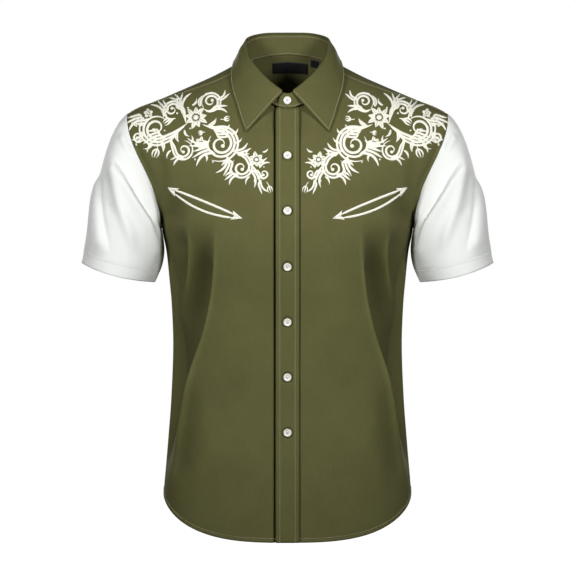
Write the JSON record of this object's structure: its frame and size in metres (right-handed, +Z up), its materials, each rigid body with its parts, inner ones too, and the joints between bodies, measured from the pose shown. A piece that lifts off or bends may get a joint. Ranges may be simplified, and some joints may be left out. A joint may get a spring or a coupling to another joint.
{
  "type": "short-sleeved button-down shirt",
  "caption": "Short-sleeved western shirt filled out as worn: pointed collar, buttoned placket, shaped yoke, contrast sleeves and smile pockets, open at neck, cuffs and hem.",
  "frame": {"origin": "middle of the neck's base, midway across the shirt and in the plane of the side seams", "axes": "+Z up through the neck, front facing -Y, +X towards the wearer's left"},
  "size_m": [0.618, 0.2429, 0.7623],
  "materials": {
    "olive_cotton": "matte woven olive green cotton",
    "white_cotton": "matte woven white cotton",
    "white_trim": "off-white satin embroidery thread",
    "black_label": "black woven label, bare",
    "white_button": "polished white resin"
  },
  "bodies": {
    "root": {"right_front": "olive_cotton", "left_front": "olive_cotton", "placket": "olive_cotton", "back": "olive_cotton", "yoke": "olive_cotton", "sleeve_right": "white_cotton", "sleeve_left": "white_cotton", "collar_stand": "olive_cotton", "collar_leaf": "olive_cotton", "neck_label": "black_label", "size_tab": "black_label", "button_1": "white_button", "button_2": "white_button", "button_3": "white_button", "button_4": "white_button", "button_5": "white_button", "button_6": "white_button", "button_7": "white_button", "pocket_welt_right": "olive_cotton", "pocket_welt_left": "olive_cotton", "pocket_piping_right_upper": "white_trim", "pocket_piping_right_lower": "white_trim", "pocket_piping_left_upper": "white_trim", "pocket_piping_left_lower": "white_trim", "arrow_tack_right_outer": "white_trim", "arrow_tack_right_inner": "white_trim", "arrow_tack_left_outer": "white_trim", "arrow_tack_left_inner": "white_trim"}
  },
  "joints": []
}
